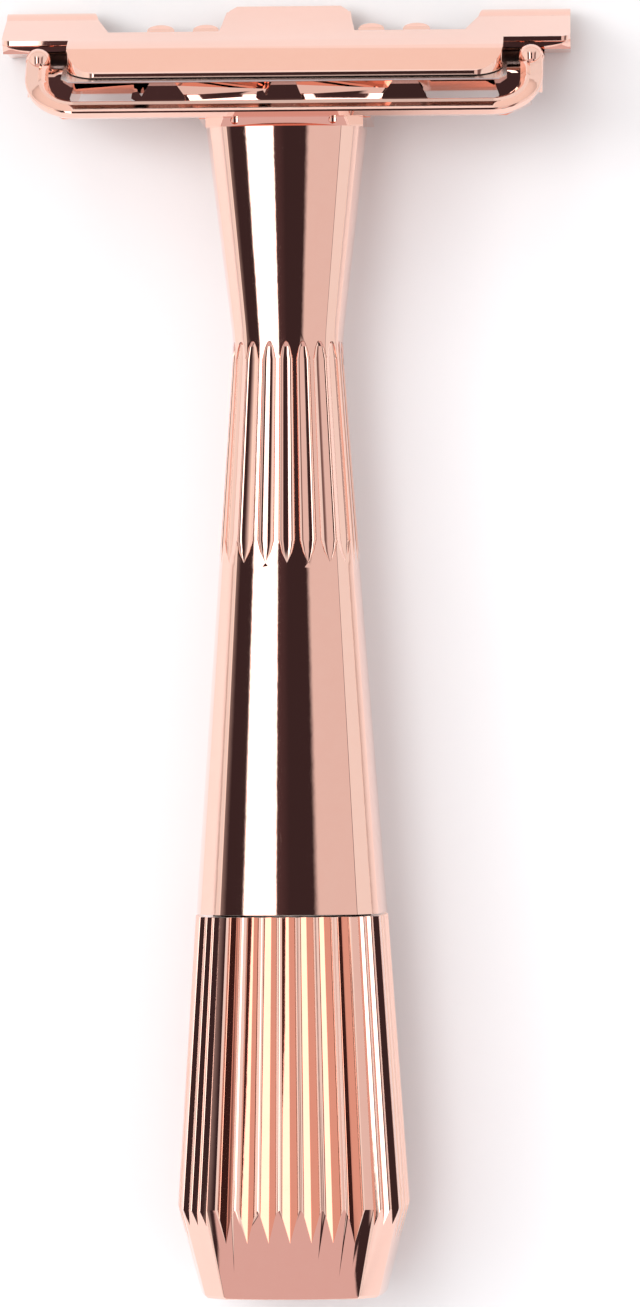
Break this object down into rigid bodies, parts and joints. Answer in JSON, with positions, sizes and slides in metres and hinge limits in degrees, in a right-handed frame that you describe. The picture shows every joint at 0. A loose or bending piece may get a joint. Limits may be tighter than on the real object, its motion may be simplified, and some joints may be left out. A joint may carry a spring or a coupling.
{
  "type": "safety razor",
  "caption": "Twist-to-open single-edge safety razor with a tapered octagonal handle, a vee-grooved knob and a hinged cap that clamps half a blade over a guard bar.",
  "frame": {"origin": "centre of the bounding box's bottom face, on the surface that the razor lies on", "axes": "+Z away from that surface, the razor's front facing up; +Y along the handle towards the head; +X along the cutting edge"},
  "size_m": [0.048, 0.1092, 0.0195],
  "materials": {
    "rose_gold_plate": "mirror-polished rose-gold plating on zinc alloy",
    "blade_steel": "ground stainless strip with a honed edge",
    "inner_steel": "turned stainless steel",
    "nut_brass": "turned brass",
    "ring_rubber": "black moulded rubber",
    "washer_plastic": "natural acetal"
  },
  "bodies": {
    "handle": {"handle_shell": "rose_gold_plate", "knob_o_ring": "ring_rubber", "retaining_clip": "inner_steel", "thrust_washer": "washer_plastic", "friction_washer": "washer_plastic", "lower_rod_bush": "nut_brass", "upper_rod_bush": "nut_brass", "neck_collar": "rose_gold_plate", "neck_dowels": "inner_steel", "base_plate": "rose_gold_plate", "blade_pegs": "inner_steel", "end_posts": "rose_gold_plate", "hinge_pin": "inner_steel", "razor_blade": "blade_steel"},
    "rod": {"pull_rod": "inner_steel", "rod_stop_collar": "inner_steel", "drive_yoke": "inner_steel", "yoke_cross_pin": "inner_steel"},
    "cap": {"cap_shell": "rose_gold_plate", "cap_drive_lug": "inner_steel", "lug_dowel": "inner_steel", "drive_pin": "inner_steel"},
    "knob": {"knob_shell": "rose_gold_plate", "thread_insert": "nut_brass", "knob_end_plug": "rose_gold_plate"}
  },
  "joints": [
    {"name": "knob_turn", "type": "hinge", "parent": "handle", "child": "knob", "pos_m": [0, -0.0386, 0.00975], "axis": [0, -1, 0], "range_deg": [0, 745.6]},
    {"name": "rod_slide", "type": "slide", "parent": "handle", "child": "rod", "axis": [0, 1, 0], "range_m": [0, 0.00166]},
    {"name": "cap_hinge", "type": "hinge", "parent": "handle", "child": "cap", "pos_m": [0, 0.0515, 0.00265], "axis": [-1, 0, 0], "range_deg": [0, 30.01]}
  ],
  "couplings": [
    {"joint": "rod_slide", "follows": "knob_turn", "m_per_rad": 0.00012732},
    {"joint": "cap_hinge", "follows": "knob_turn", "ratio": 0.040236}
  ]
}
